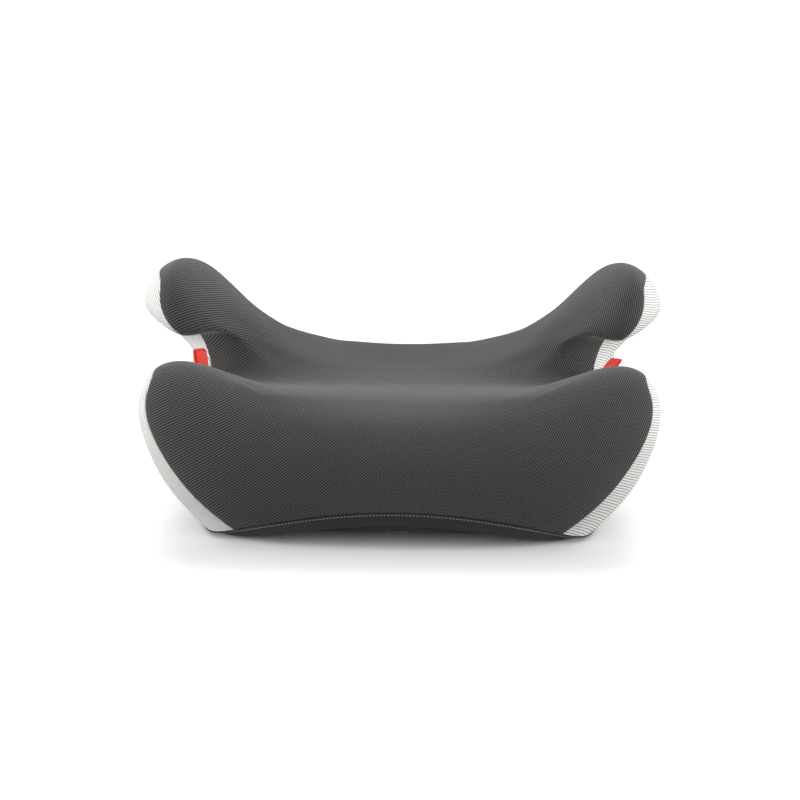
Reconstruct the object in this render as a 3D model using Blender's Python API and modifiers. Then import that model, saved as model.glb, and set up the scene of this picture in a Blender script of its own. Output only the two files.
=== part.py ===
"""Backless child booster seat, in metres, +Z up, front towards -Y, standing on Z = 0.

A moulded shell with two hooked armrests carries foam pads under a fitted fabric cover. The cover has one
dark top panel and two light side panels, an elastic hem band, and a red ribbon loop in each belt gap
between the thigh wing and the armrest. A ribbed tray closes the underside and is held by eight screws.

The outer form is one coarse half cage. Every skin (cover, foam, shell) is a patch of its subdivided
surface, set at its own depth below the outside.
"""

from math import cos, pi, radians, sin

import bmesh
import bpy
from mathutils import Vector

MM = 0.001

# depths below the outer surface of the cover
COVER_THICK = 1.4 * MM
FOAM_DEPTH = 2.1 * MM
FOAM_TO_SHELL = 1.2 * MM
SHELL_WALL = 3.0 * MM
# the shell's depth at its rim, under the seat and in the armrests, and the heights that it changes between
SHELL_RIM_DEPTH = 4.4 * MM
SHELL_SEAT_DEPTH = 10.2 * MM
SHELL_ARM_DEPTH = 5.8 * MM
RIM_HEIGHTS = (42 * MM, 74 * MM)
ARM_HEIGHTS = (118 * MM, 140 * MM)
SEAM_GAP = 1.1 * MM
FOAM_GAP = 0.5 * MM
BAND_THICK = 1.2 * MM
BAND_DROP = 0.9 * MM
MERGE = 0.1 * MM
SHARP_ANGLE = radians(50)

# front notch in the shell's lip
NOTCH_WIDTH = 21 * MM
NOTCH_TOP = 16.5 * MM
NOTCH_CHAMFER = 2 * MM
NOTCH_Y = (-200 * MM, -165 * MM)

# base tray: a grid of cells open downwards
CELL = Vector((46 * MM, 48 * MM))
CELL_COLUMNS = 5
CELL_ROWS = 5
TRAY_Y = 20 * MM
TRAY_HEIGHT = 16 * MM
TRAY_TOP = 3 * MM
TRAY_RIB = 4 * MM
TRAY_CORNER = 14 * MM

# screws through the tray into the shell's bosses, by cell column and row from the middle
SCREW_CELLS = ((-2, -2), (0, -2), (2, -2), (-2, 0), (2, 0), (-2, 2), (0, 2), (2, 2))
SCREW_HEAD_RADIUS = 4.2 * MM
SCREW_HEAD = 2.8 * MM
SCREW_RADIUS = 1.7 * MM
SCREW_LENGTH = 24 * MM
BOSS_RADIUS = 6.5 * MM
PILOT_RADIUS = 2.1 * MM
PILOT_DEPTH = 26 * MM
TRAY_HOLE_RADIUS = 2.6 * MM
FIT = 0.3 * MM
# the head's outline below its seat, as (share of the head's radius, share of its height)
SCREW_HEAD_OUTLINE = ((1.0, 0.5), (0.81, 0.14), (0.48, 0.0), (0.38, 0.18), (0.0, 0.21))
SCREW_TIP = 3 * MM
SCREW_MERGE = 0.01 * MM

# stiffening ribs under the seat: their places, and the limits that they run between
RIB_WALL = 2.6 * MM
RIB_BOTTOM = 24 * MM
RIB_X = (-54 * MM, 54 * MM)
RIB_Y = (-55 * MM, 95 * MM)
LONG_RIB_Y = (-130 * MM, 165 * MM)
CROSS_RIB_X = (-120 * MM, 120 * MM)
# heights safely above and below the whole shell, for what cuts through it
ABOVE = 300 * MM
BELOW = -30 * MM

# belt loops
LOOP_BASE = Vector((180 * MM, -31 * MM, 121 * MM))
LOOP_WIDTH = 10 * MM
LOOP_HEIGHT = 24 * MM
LOOP_BULGE = 9 * MM
LOOP_THICK = 1.0 * MM
LOOP_TURN = radians(30)
LOOP_STEPS = 14
# the loop's foot: its bottom's share of the full bulge, the gap between its two ends, and its lift
LOOP_PINCH = 0.35
LOOP_END_GAP = 1.6 * MM
LOOP_LIFT = 0.2 * MM

# The half cage for X >= 0, in millimetres. Each row runs from the centre line to the side seam.
# The rows run from the front hem, over the thigh wing, through the belt gap, round the armrest's knob,
# back along the armrest and down the back to the rear hem.
PANEL_ROWS = {
    "hem_front": ((0, -181, 34), (42, -180, 32), (80, -176, 26), (115, -168, 18), (143, -154, 9)),
    "front_low": ((0, -188, 52), (52, -187, 51), (100, -185, 47), (147, -179, 41), (176, -164, 36)),
    "front_mid": ((0, -194, 76), (62, -194, 77), (118, -192, 79), (172, -186, 80), (208, -171, 80)),
    "front_top": ((0, -191, 96), (66, -191, 99), (126, -190, 105), (187, -184, 115), (227, -168, 121)),
    "wing_front": ((0, -178, 110), (68, -178, 114), (128, -176, 126), (187, -169, 145), (216, -152, 147)),
    "wing_top": ((0, -155, 118), (68, -153, 123), (127, -148, 136), (181, -138, 158), (214, -126, 158)),
    "wing_rear": ((0, -120, 119), (68, -116, 122), (124, -111, 131), (170, -101, 147), (192, -94, 146)),
    "gap_floor": ((0, -80, 116), (68, -78, 117), (120, -73, 120), (158, -63, 125), (178, -56, 122)),
    "throat_foot": ((0, -45, 112.5), (68, -43, 112), (112, -42, 112.5), (149, -31, 116), (171, -20, 118)),
    "throat_back": ((0, -20, 110), (70, -18, 110), (113, -20, 113), (150, -14, 126), (172, -2, 131)),
    "throat_top": ((0, 0, 109), (74, 2, 111), (120, -2, 119), (153, -13, 148), (176, -4, 156)),
    "knob_under": ((0, 18, 108.5), (79, 20, 112.5), (130, 9, 131), (160, -28, 170), (189, -34, 158)),
    "knob_low": ((0, 34, 108), (82, 33, 114), (136, 13, 141), (169, -58, 175), (197, -71, 146)),
    "knob_front": ((0, 50, 108), (85, 46, 116), (142, 14, 153), (186, -78, 194), (216, -80, 184)),
    "knob_high": ((0, 66, 108), (87, 60, 117), (146, 24, 161), (191, -66, 217), (219, -63, 213)),
    "arm_front": ((0, 84, 109), (87, 80, 117.5), (147, 42, 165), (191, -22, 231), (222, -20, 226)),
    "arm_mid": ((0, 104, 110.5), (86, 102, 118), (145, 68, 163), (185, 34, 225), (214, 35, 219)),
    "arm_rear": ((0, 126, 112), (83, 126, 119), (141, 103, 157), (180, 90, 207), (208, 90, 204)),
    "rear_top": ((0, 152, 115), (79, 152, 119), (135, 142, 139), (170, 140, 173), (201, 145, 173)),
    "back_top": ((0, 175, 113), (76, 177, 117), (130, 179, 128), (163, 177, 134), (194, 177, 130)),
    "back_mid": ((0, 187, 92), (72, 191, 92), (126, 193, 92), (160, 193, 92), (188, 187, 92)),
    "back_low": ((0, 189, 58), (66, 193, 58), (118, 194, 56), (150, 192, 54), (178, 185, 52)),
    "hem_rear": ((0, 181, 5), (58, 184, 5), (105, 185, 5), (135, 181, 5), (160, 173, 5)),
}
# The side panel's own points, from front to rear (a to e) and from the hem up (1 to 3)
SIDE_POINTS = {
    "hem_a": (168, -145, 3), "a1": (205, -133, 36), "a2": (223, -140, 78), "a3": (232, -142, 120),
    "hem_b": (178, -80, 3), "b1": (209, -82, 36), "b2": (225, -88, 76), "b3": (225, -92, 116),
    "hem_c": (179, -30, 3), "c1": (208, -35, 36), "c2": (218, -38, 72), "c3": (207, -46, 102),
    "hem_d": (178, 20, 3), "d1": (204, 15, 36), "d2": (212, 10, 72), "d3": (197, 0, 104),
    "hem_e": (175, 80, 3), "e1": (202, 85, 38), "e2": (210, 90, 75), "e3": (204, 92, 112),
    "stem_0": (201, 52, 132), "stem_1": (231, 40, 154),
    "stem_2": (248, 8, 166), "stem_3": (250, -34, 181),
}
# The side panel's quads. A row's name stands for its seam point.
SIDE_HEM = (
    ("hem_front", "front_low", "a1", "hem_a"), ("hem_a", "a1", "b1", "hem_b"),
    ("hem_b", "b1", "c1", "hem_c"),
    ("hem_c", "c1", "d1", "hem_d"), ("hem_d", "d1", "e1", "hem_e"), ("hem_e", "e1", "back_low", "hem_rear"),
    ("front_low", "front_mid", "a2", "a1"), ("a1", "a2", "b2", "b1"), ("b1", "b2", "c2", "c1"),
    ("c1", "c2", "d2", "d1"), ("d1", "d2", "e2", "e1"), ("e1", "e2", "back_mid", "back_low"),
)
SIDE_WING = (
    ("front_mid", "front_top", "a3", "a2"), ("front_top", "wing_front", "wing_top", "a3"),
    ("a2", "a3", "b3", "b2"), ("a3", "wing_top", "wing_rear", "b3"),
    ("b2", "b3", "c3", "c2"), ("b3", "wing_rear", "gap_floor", "c3"),
)
SIDE_ARM = (
    ("c2", "c3", "d3", "d2"), ("c3", "gap_floor", "throat_foot", "d3"),
    ("d2", "d3", "e3", "e2"), ("d3", "throat_foot", "stem_0", "e3"),
    ("e2", "e3", "back_top", "back_mid"), ("e3", "stem_0", "rear_top", "back_top"),
    ("throat_foot", "throat_back", "stem_1", "stem_0"), ("stem_0", "stem_1", "arm_rear", "rear_top"),
    ("throat_back", "throat_top", "stem_2", "stem_1"), ("stem_1", "stem_2", "arm_mid", "arm_rear"),
    ("throat_top", "knob_under", "stem_3", "stem_2"), ("stem_2", "stem_3", "arm_front", "arm_mid"),
    ("knob_under", "knob_low", "knob_front", "stem_3"), ("stem_3", "knob_front", "knob_high", "arm_front"),
)
# Hem points in order round the half, and the shell's rim and the band's lower edge along them
HEM_ORDER = ("hem_a", "hem_b", "hem_c", "hem_d", "hem_e")
SHELL_RIM = (
    (0, -179, 13.5), (42, -177.5, 13), (79, -172, 11.5), (112, -163.5, 8), (138, -148, 4.5),
    (164, -140, 4), (175, -80, 4), (176, -30, 4), (175, 20, 4), (172, 80, 4),
    (157, 170, 6), (134, 177, 6), (104, 181, 6), (58, 180, 6), (0, 177, 6),
)
BAND_EDGE = (
    (0, -181.6, 21.5), (42, -180.6, 20), (80, -176.4, 14.5), (114, -167.6, 7.5), (139, -150, 1.7),
    (157, -135, 1.6), (167, -80, 1.6), (168, -30, 1.6), (167, 20, 1.6), (164, 80, 1.6),
    (150, 163, 1.6), (130, 171, 1.6), (103, 175, 1.6), (57, 175, 1.6), (0, 172, 1.6),
)

# patches of the surface
HEM, SEAT, HOOK, ARM, SIDE_LOW, WING_SIDE, ARM_SIDE = range(7)
TOP_PATCHES = (HEM, SEAT, HOOK, ARM)
SIDE_PATCHES = (SIDE_LOW, WING_SIDE, ARM_SIDE)
# the armrest's inside, from this column outwards: the hook under the knob has no foam
HOOK_ROWS = ("throat_back", "knob_front")
ARM_ROWS = ("knob_front", "arm_rear")
ARM_COLUMN = 2
SEAT_ROWS = ("front_mid", "back_top")


def clear_scene():
    for thing in list(bpy.data.objects):
        bpy.data.objects.remove(thing)


def make_material(name, color, roughness, metallic=0.0):
    material = bpy.data.materials.new(name)
    material.use_nodes = True
    shader = material.node_tree.nodes["Principled BSDF"]
    shader.inputs["Base Color"].default_value = (*color, 1)
    shader.inputs["Roughness"].default_value = roughness
    shader.inputs["Metallic"].default_value = metallic
    return material


def add_object(name, mesh, collection, material=None):
    thing = bpy.data.objects.new(name, mesh)
    collection.objects.link(thing)
    if material:
        mesh.materials.clear()
        mesh.materials.append(material)
    return thing


def make_cutter(thing):
    thing.hide_render = True
    thing.display_type = "WIRE"
    return thing


def cut(thing, cutter, solver="EXACT"):
    modifier = thing.modifiers.new(cutter.name, "BOOLEAN")
    modifier.operation = "DIFFERENCE"
    modifier.object = cutter
    modifier.solver = solver


def box_mesh(name, low, high):
    low, high = Vector(low), Vector(high)
    bm = bmesh.new()
    bmesh.ops.create_cube(bm, size=1)
    size = high - low
    bmesh.ops.scale(bm, vec=size, verts=bm.verts)
    bmesh.ops.translate(bm, vec=(low + high) / 2, verts=bm.verts)
    mesh = bpy.data.meshes.new(name)
    bm.to_mesh(mesh)
    bm.free()
    return mesh


def cylinder_mesh(name, radius, low, high, sides):
    """A cylinder along Z through the origin, from height low to height high."""
    bm = bmesh.new()
    bmesh.ops.create_cone(
        bm, cap_ends=True, segments=sides, radius1=radius, radius2=radius, depth=high - low
    )
    bmesh.ops.translate(bm, vec=(0, 0, (low + high) / 2), verts=bm.verts)
    mesh = bpy.data.meshes.new(name)
    bm.to_mesh(mesh)
    bm.free()
    return mesh


# ---- the outer form ----

def patch_of(row, column, names):
    """The patch that the panel's quad after this row and column belongs to."""
    if not names.index(SEAT_ROWS[0]) <= row < names.index(SEAT_ROWS[1]):
        return HEM
    if column >= ARM_COLUMN:
        for patch, (first, last) in ((HOOK, HOOK_ROWS), (ARM, ARM_ROWS)):
            if names.index(first) <= row < names.index(last):
                return patch
    return SEAT


def build_form(name, hem=None):
    """The whole outer surface as a mesh. hem replaces the points of the lower edge, front to rear."""
    bm = bmesh.new()
    rows = []
    points = {}
    for row_name, row in PANEL_ROWS.items():
        rows.append([bm.verts.new(Vector(point) * MM) for point in row])
        points[row_name] = rows[-1][-1]
    for point_name, point in SIDE_POINTS.items():
        points[point_name] = bm.verts.new(Vector(point) * MM)
    if hem:
        edge = rows[0] + [points[point_name] for point_name in HEM_ORDER] + rows[-1][::-1]
        for vertex, place in zip(edge, hem):
            vertex.co = Vector(place) * MM
    names = list(PANEL_ROWS)
    for i in range(len(rows) - 1):
        for j in range(len(rows[0]) - 1):
            face = bm.faces.new((rows[i][j], rows[i][j + 1], rows[i + 1][j + 1], rows[i + 1][j]))
            face.material_index = patch_of(i, j, names)
    for quads, patch in ((SIDE_HEM, SIDE_LOW), (SIDE_WING, WING_SIDE), (SIDE_ARM, ARM_SIDE)):
        for quad in quads:
            face = bm.faces.new([points[point_name] for point_name in reversed(quad)])
            face.material_index = patch
    mesh = bpy.data.meshes.new(name)
    bm.to_mesh(mesh)
    bm.free()
    for patch in range(ARM_SIDE + 1):
        mesh.materials.append(None)
    cage = bpy.data.objects.new(name, mesh)
    bpy.context.scene.collection.objects.link(cage)
    mirror = cage.modifiers.new("mirror", "MIRROR")
    mirror.merge_threshold = MERGE
    smooth = cage.modifiers.new("subdivision", "SUBSURF")
    smooth.levels = smooth.render_levels = 1
    graph = bpy.context.evaluated_depsgraph_get()
    form = bpy.data.meshes.new_from_object(cage.evaluated_get(graph))
    bpy.data.objects.remove(cage)
    # every skin shares these triangles, so that two skins never cross inside a twisted quad
    bm = bmesh.new()
    bm.from_mesh(form)
    bmesh.ops.triangulate(bm, faces=bm.faces, quad_method="SHORT_EDGE")
    bm.to_mesh(form)
    bm.free()
    return form


def smoothstep(low, high, value):
    t = min(max((value - low) / (high - low), 0), 1)
    return t * t * (3 - 2 * t)


def cover_depth(z):
    return 0.0


def lining_depth(z):
    return COVER_THICK


def foam_depth(z):
    return FOAM_DEPTH


def shell_depth(z):
    rise = (SHELL_SEAT_DEPTH - SHELL_RIM_DEPTH) * smoothstep(*RIM_HEIGHTS, z)
    return SHELL_RIM_DEPTH + rise - (SHELL_SEAT_DEPTH - SHELL_ARM_DEPTH) * smoothstep(*ARM_HEIGHTS, z)


def foam_base_depth(z):
    return shell_depth(z) - FOAM_TO_SHELL


def cavity_depth(z):
    return shell_depth(z) + SHELL_WALL


def sink(bm, depth_at):
    """Moves the whole surface inwards, by depth_at(height) at each point."""
    bm.normal_update()
    places = {vertex: vertex.co - vertex.normal * depth_at(vertex.co.z) for vertex in bm.verts}
    for vertex, place in places.items():
        vertex.co = place


def pull_in_edge(bm, gap):
    """Draws the patch's edge back by gap, along the surface."""
    moves = {}
    for vertex in bm.verts:
        if not vertex.is_boundary:
            continue
        inner = [edge.other_vert(vertex).co for edge in vertex.link_edges if not edge.is_boundary]
        if inner:
            target = sum(inner, Vector()) / len(inner)
        else:
            ends = [edge.other_vert(vertex).co for edge in vertex.link_edges]
            target = sum(ends, Vector()) / len(ends)
        moves[vertex] = (target - vertex.co).normalized() * gap
    for vertex, move in moves.items():
        vertex.co += move


def close_skin(bm, steps):
    """Gives the open patch its inner face, one step further in at each point, and a rim between them."""
    outer_faces = list(bm.faces)
    rim = [(loop.vert, loop.link_loop_next.vert) for face in outer_faces for loop in face.loops
           if loop.edge.is_boundary]
    inner = {vertex: bm.verts.new(vertex.co + steps[vertex]) for vertex in list(bm.verts)}
    for face in outer_faces:
        bm.faces.new([inner[vertex] for vertex in reversed(face.verts)])
    for start, end in rim:
        bm.faces.new((end, start, inner[start], inner[end]))


def add_patch(name, form, patches, side, depths, gap, collection, material):
    """A closed skin over some patches of the form. side is -1, 1 or 0 for both."""
    outer_depth, inner_depth = depths
    bm = bmesh.new()
    bm.from_mesh(form)
    bm.normal_update()
    steps = {}
    for vertex in bm.verts:
        steps[vertex] = vertex.normal * (outer_depth(vertex.co.z) - inner_depth(vertex.co.z))
    sink(bm, outer_depth)
    unwanted = []
    for face in bm.faces:
        wrong_side = side and face.calc_center_median().x * side < 0
        if face.material_index not in patches or wrong_side:
            unwanted.append(face)
    bmesh.ops.delete(bm, geom=unwanted, context="FACES")
    pull_in_edge(bm, gap)
    close_skin(bm, steps)
    for face in bm.faces:
        face.material_index = 0
    mesh = bpy.data.meshes.new(name)
    bm.to_mesh(mesh)
    bm.free()
    mesh.shade_smooth()
    mesh.set_sharp_from_angle(angle=SHARP_ANGLE)
    return add_object(name, mesh, collection, material)


# ---- the shell ----

def build_body(name, form, depth_at, floor, collection):
    """A closed body inside the form. Its lower edge is brought down to floor, or capped where it is."""
    bm = bmesh.new()
    bm.from_mesh(form)
    sink(bm, depth_at)
    edge = [e for e in bm.edges if e.is_boundary]
    if floor is not None:
        made = bmesh.ops.extrude_edge_only(bm, edges=edge)["geom"]
        for vertex in made:
            if isinstance(vertex, bmesh.types.BMVert):
                vertex.co.z = floor
        edge = [e for e in bm.edges if e.is_boundary]
    lowest = [vertex.co for e in edge for vertex in e.verts]
    made = bmesh.ops.extrude_edge_only(bm, edges=edge)["geom"]
    ring = [v for v in made if isinstance(v, bmesh.types.BMVert)]
    middle = Vector((0, 0, sum(co.z for co in lowest) / len(lowest)))
    bmesh.ops.pointmerge(bm, verts=ring, merge_co=middle)
    bmesh.ops.recalc_face_normals(bm, faces=bm.faces)
    for face in bm.faces:
        face.material_index = 0
    mesh = bpy.data.meshes.new(name)
    bm.to_mesh(mesh)
    bm.free()
    return add_object(name, mesh, collection)


def screw_places():
    for column, row in SCREW_CELLS:
        yield Vector((column * CELL.x, TRAY_Y + row * CELL.y, 0))


def build_shell(form, parts, cutters, material):
    shell = build_body("seat_shell", form, shell_depth, None, parts)
    shell.data.materials.clear()
    shell.data.materials.append(material)
    cavity = make_cutter(build_body("shell_cavity", form, cavity_depth, BELOW, cutters))
    for i, x in enumerate(RIB_X):
        low = (x - RIB_WALL / 2, LONG_RIB_Y[0], RIB_BOTTOM)
        high = (x + RIB_WALL / 2, LONG_RIB_Y[1], ABOVE)
        mesh = box_mesh("long_rib_%d" % (i + 1), low, high)
        cut(cavity, make_cutter(add_object(mesh.name, mesh, cutters)), "MANIFOLD")
    for i, y in enumerate(RIB_Y):
        low = (CROSS_RIB_X[0], y - RIB_WALL / 2, RIB_BOTTOM)
        high = (CROSS_RIB_X[1], y + RIB_WALL / 2, ABOVE)
        mesh = box_mesh("cross_rib_%d" % (i + 1), low, high)
        cut(cavity, make_cutter(add_object(mesh.name, mesh, cutters)), "MANIFOLD")
    boss_mesh = cylinder_mesh("boss", BOSS_RADIUS, TRAY_HEIGHT + FIT, ABOVE, 16)
    pilot_mesh = cylinder_mesh("pilot_hole", PILOT_RADIUS, 0, TRAY_HEIGHT + PILOT_DEPTH, 12)
    for i, place in enumerate(screw_places()):
        boss = make_cutter(add_object("boss_%d" % (i + 1), boss_mesh, cutters))
        boss.location = place
        cut(cavity, boss, "MANIFOLD")
    cut(shell, cavity, "MANIFOLD")
    for i, place in enumerate(screw_places()):
        pilot = make_cutter(add_object("pilot_hole_%d" % (i + 1), pilot_mesh, cutters))
        pilot.location = place
        cut(shell, pilot, "MANIFOLD")
    notch_mesh = box_mesh(
        "lip_notch",
        (-NOTCH_WIDTH / 2, NOTCH_Y[0], BELOW),
        (NOTCH_WIDTH / 2, NOTCH_Y[1], NOTCH_TOP),
    )
    notch = make_cutter(add_object("lip_notch", notch_mesh, cutters))
    corner = notch.modifiers.new("chamfer", "BEVEL")
    corner.width = NOTCH_CHAMFER
    corner.segments = 1
    cut(shell, notch, "MANIFOLD")
    return shell


# ---- the hem band ----

def build_band(parts, material):
    """A ribbon from just below the cover's hem down to the band's lower edge, and under the shell's rim."""
    bm = bmesh.new()
    hem = list(PANEL_ROWS["hem_front"]) + [SIDE_POINTS[name] for name in HEM_ORDER]
    hem += list(PANEL_ROWS["hem_rear"])[::-1]
    upper = [bm.verts.new(Vector(point) * MM - Vector((0, 0, BAND_DROP))) for point in hem]
    lower = [bm.verts.new(Vector(point) * MM) for point in BAND_EDGE]
    for i in range(len(hem) - 1):
        bm.faces.new((lower[i], lower[i + 1], upper[i + 1], upper[i]))
    mesh = bpy.data.meshes.new("cover_hem_band")
    bm.to_mesh(mesh)
    bm.free()
    band = add_object("cover_hem_band", mesh, parts, material)
    mirror = band.modifiers.new("mirror", "MIRROR")
    mirror.merge_threshold = MERGE
    smooth = band.modifiers.new("subdivision", "SUBSURF")
    smooth.levels = smooth.render_levels = 1
    solid = band.modifiers.new("thickness", "SOLIDIFY")
    solid.thickness = BAND_THICK
    solid.offset = 1
    return band


# ---- the tray and its screws ----

def build_tray(parts, cutters, material):
    half = Vector((CELL.x * CELL_COLUMNS / 2 + TRAY_RIB / 2, CELL.y * CELL_ROWS / 2 + TRAY_RIB / 2, 0))
    centre = Vector((0, TRAY_Y, 0))
    bm = bmesh.new()
    bmesh.ops.create_cube(bm, size=1)
    bmesh.ops.scale(bm, vec=(2 * half.x, 2 * half.y, TRAY_HEIGHT), verts=bm.verts)
    bmesh.ops.translate(bm, vec=centre + Vector((0, 0, TRAY_HEIGHT / 2)), verts=bm.verts)
    upright = [e for e in bm.edges if abs(e.verts[0].co.z - e.verts[1].co.z) > TRAY_HEIGHT / 2]
    bmesh.ops.bevel(bm, geom=upright, offset=TRAY_CORNER, segments=5, affect="EDGES", profile=0.5)
    mesh = bpy.data.meshes.new("base_tray")
    bm.to_mesh(mesh)
    bm.free()
    tray = add_object("base_tray", mesh, parts, material)
    pocket_size = CELL - Vector((TRAY_RIB, TRAY_RIB))
    pocket_mesh = box_mesh(
        "pocket",
        (-pocket_size.x / 2, -pocket_size.y / 2, BELOW),
        (pocket_size.x / 2, pocket_size.y / 2, TRAY_HEIGHT - TRAY_TOP),
    )
    hole_mesh = cylinder_mesh("tray_hole", TRAY_HOLE_RADIUS, 0, ABOVE, 12)
    middle_column = (CELL_COLUMNS - 1) // 2
    middle_row = (CELL_ROWS - 1) // 2
    for column in range(-middle_column, middle_column + 1):
        for row in range(-middle_row, middle_row + 1):
            if (column, row) == (0, 0):
                continue
            name = "pocket_%d_%d" % (column + middle_column, row + middle_row)
            pocket = make_cutter(add_object(name, pocket_mesh, cutters))
            pocket.location = centre + Vector((column * CELL.x, row * CELL.y, 0))
            cut(tray, pocket)
    for i, place in enumerate(screw_places()):
        hole = make_cutter(add_object("tray_hole_%d" % (i + 1), hole_mesh, cutters))
        hole.location = place
        cut(tray, hole)
    return tray


def build_screws(parts, material):
    """Pan head screws, driven upwards: a turned profile with its axis along Z."""
    seat = TRAY_HEIGHT - TRAY_TOP - FIT
    profile = [
        (0, seat + SCREW_LENGTH),
        (SCREW_RADIUS, seat + SCREW_LENGTH - SCREW_TIP),
        (SCREW_RADIUS, seat),
        (SCREW_HEAD_RADIUS, seat),
    ]
    for out, up in SCREW_HEAD_OUTLINE:
        profile.append((out * SCREW_HEAD_RADIUS, seat - (1 - up) * SCREW_HEAD))
    mesh = bpy.data.meshes.new("tray_screw")
    points = [(radius, 0, z) for radius, z in profile]
    mesh.from_pydata(points, [(i, i + 1) for i in range(len(points) - 1)], [])
    mesh.materials.append(material)
    for i, place in enumerate(screw_places()):
        screw = bpy.data.objects.new("tray_screw_%d" % (i + 1), mesh)
        parts.objects.link(screw)
        screw.location = place
        turned = screw.modifiers.new("turned", "SCREW")
        turned.steps = turned.render_steps = 12
        turned.use_merge_vertices = True
        turned.merge_threshold = SCREW_MERGE
        turned.use_normal_calculate = True


# ---- the belt loops ----

def build_loop(side, parts, material):
    """A ribbon loop standing in the belt gap. Its origin is on the stitched line that it flexes about."""
    name = "belt_loop_left" if side < 0 else "belt_loop_right"
    bm = bmesh.new()
    rows = []
    for i in range(LOOP_STEPS + 1):
        t = i / LOOP_STEPS
        angle = -pi / 2 + 2 * pi * t
        pinch = LOOP_PINCH + (1 - LOOP_PINCH) * sin(pi * t)
        wide = LOOP_BULGE / 2 * cos(angle) * pinch + (0.5 - t) * LOOP_END_GAP
        high = LOOP_HEIGHT / 2 * (1 + sin(angle)) + LOOP_LIFT
        rows.append([bm.verts.new((w * LOOP_WIDTH / 2, wide, high)) for w in (-1, 1)])
    for low, high in zip(rows, rows[1:]):
        bm.faces.new((low[0], low[1], high[1], high[0]))
    for face in bm.faces:
        face.smooth = True
    mesh = bpy.data.meshes.new(name)
    bm.to_mesh(mesh)
    bm.free()
    loop = add_object(name, mesh, parts, material)
    loop.location = (LOOP_BASE.x * side, LOOP_BASE.y, LOOP_BASE.z)
    loop.rotation_euler = (0, 0, -LOOP_TURN * side)
    solid = loop.modifiers.new("thickness", "SOLIDIFY")
    solid.thickness = LOOP_THICK
    solid.offset = 0
    return loop


def main():
    clear_scene()
    parts = bpy.data.collections.new("booster_seat")
    cutters = bpy.data.collections.new("cutters")
    bpy.context.scene.collection.children.link(parts)
    bpy.context.scene.collection.children.link(cutters)

    dark = make_material("charcoal knit", (0.115, 0.11, 0.112), 0.95)
    light = make_material("light grey knit", (0.68, 0.70, 0.66), 0.9)
    elastic = make_material("black elastic", (0.02, 0.021, 0.021), 0.85)
    ribbon = make_material("red ribbon", (0.9, 0.07, 0.04), 0.6)
    foam = make_material("white foam", (0.8, 0.78, 0.7), 0.95)
    plastic = make_material("dark moulded plastic", (0.03, 0.036, 0.04), 0.45)
    steel = make_material("zinc plated steel", (0.6, 0.6, 0.58), 0.35, 1.0)

    form = build_form("outer_form")
    shell_form = build_form("shell_form", SHELL_RIM)

    cover = (cover_depth, lining_depth)
    pad = (foam_depth, foam_base_depth)
    add_patch("cover_top_panel", form, TOP_PATCHES, 0, cover, SEAM_GAP, parts, dark)
    add_patch("seat_foam", form, (SEAT,), 0, pad, FOAM_GAP, parts, foam)
    for side, word in ((-1, "left"), (1, "right")):
        add_patch("cover_side_" + word, form, SIDE_PATCHES, side, cover, SEAM_GAP, parts, light)
        add_patch("armrest_foam_" + word, form, (ARM,), side, pad, FOAM_GAP, parts, foam)
        add_patch("armrest_side_foam_" + word, form, (ARM_SIDE,), side, pad, FOAM_GAP, parts, foam)
        add_patch("wing_side_foam_" + word, form, (WING_SIDE,), side, pad, FOAM_GAP, parts, foam)

    build_shell(shell_form, parts, cutters, plastic)
    build_band(parts, elastic)
    build_tray(parts, cutters, plastic)
    build_screws(parts, steel)
    for side in (-1, 1):
        build_loop(side, parts, ribbon)


main()
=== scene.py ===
"""Looks of a backless child booster seat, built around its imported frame, in metres.

The fabric cover, its elastic hem band, the foam pads, the moulded shell and the ribbon loops are made here
as fine meshes from the same coarse cage as the CAD solids that they stand for. The base tray and its
screws are the CAD's own. Every material is procedural.
"""

from math import cos, pi, radians, sin

import bmesh
import bpy
import numpy as np
from mathutils import Matrix, Vector


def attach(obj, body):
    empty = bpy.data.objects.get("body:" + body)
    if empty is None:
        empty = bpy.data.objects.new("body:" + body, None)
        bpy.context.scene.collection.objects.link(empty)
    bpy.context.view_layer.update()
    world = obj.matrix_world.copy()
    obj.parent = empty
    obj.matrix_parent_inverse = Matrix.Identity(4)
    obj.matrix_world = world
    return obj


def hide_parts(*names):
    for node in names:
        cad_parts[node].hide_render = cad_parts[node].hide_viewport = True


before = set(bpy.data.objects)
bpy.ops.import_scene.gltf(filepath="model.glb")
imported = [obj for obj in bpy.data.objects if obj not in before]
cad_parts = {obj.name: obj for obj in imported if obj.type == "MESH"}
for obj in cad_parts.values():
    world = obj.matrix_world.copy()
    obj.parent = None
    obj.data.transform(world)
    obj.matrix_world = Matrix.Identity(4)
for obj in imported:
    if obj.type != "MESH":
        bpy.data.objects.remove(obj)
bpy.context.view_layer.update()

MM = 0.001
SIDES = ((-1, "left"), (1, "right"))

# ---- sizes, as in the CAD ----

COVER_THICK = 1.4 * MM
FOAM_DEPTH = 2.1 * MM
FOAM_TO_SHELL = 1.2 * MM
SHELL_WALL = 3.0 * MM
SHELL_RIM_DEPTH = 4.4 * MM
SHELL_SEAT_DEPTH = 10.2 * MM
SHELL_ARM_DEPTH = 5.8 * MM
RIM_HEIGHTS = (42 * MM, 74 * MM)
ARM_HEIGHTS = (118 * MM, 140 * MM)
BAND_THICK = 1.2 * MM
BAND_DROP = 0.9 * MM
NOTCH_WIDTH = 21 * MM
NOTCH_TOP = 16.5 * MM
NOTCH_CHAMFER = 2 * MM
NOTCH_Y = (-200 * MM, -165 * MM)
CELL = Vector((46 * MM, 48 * MM))
TRAY_Y = 20 * MM
TRAY_HEIGHT = 16 * MM
SCREW_CELLS = ((-2, -2), (0, -2), (2, -2), (-2, 0), (2, 0), (-2, 2), (0, 2), (2, 2))
BOSS_RADIUS = 6.5 * MM
PILOT_RADIUS = 2.1 * MM
PILOT_DEPTH = 26 * MM
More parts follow.
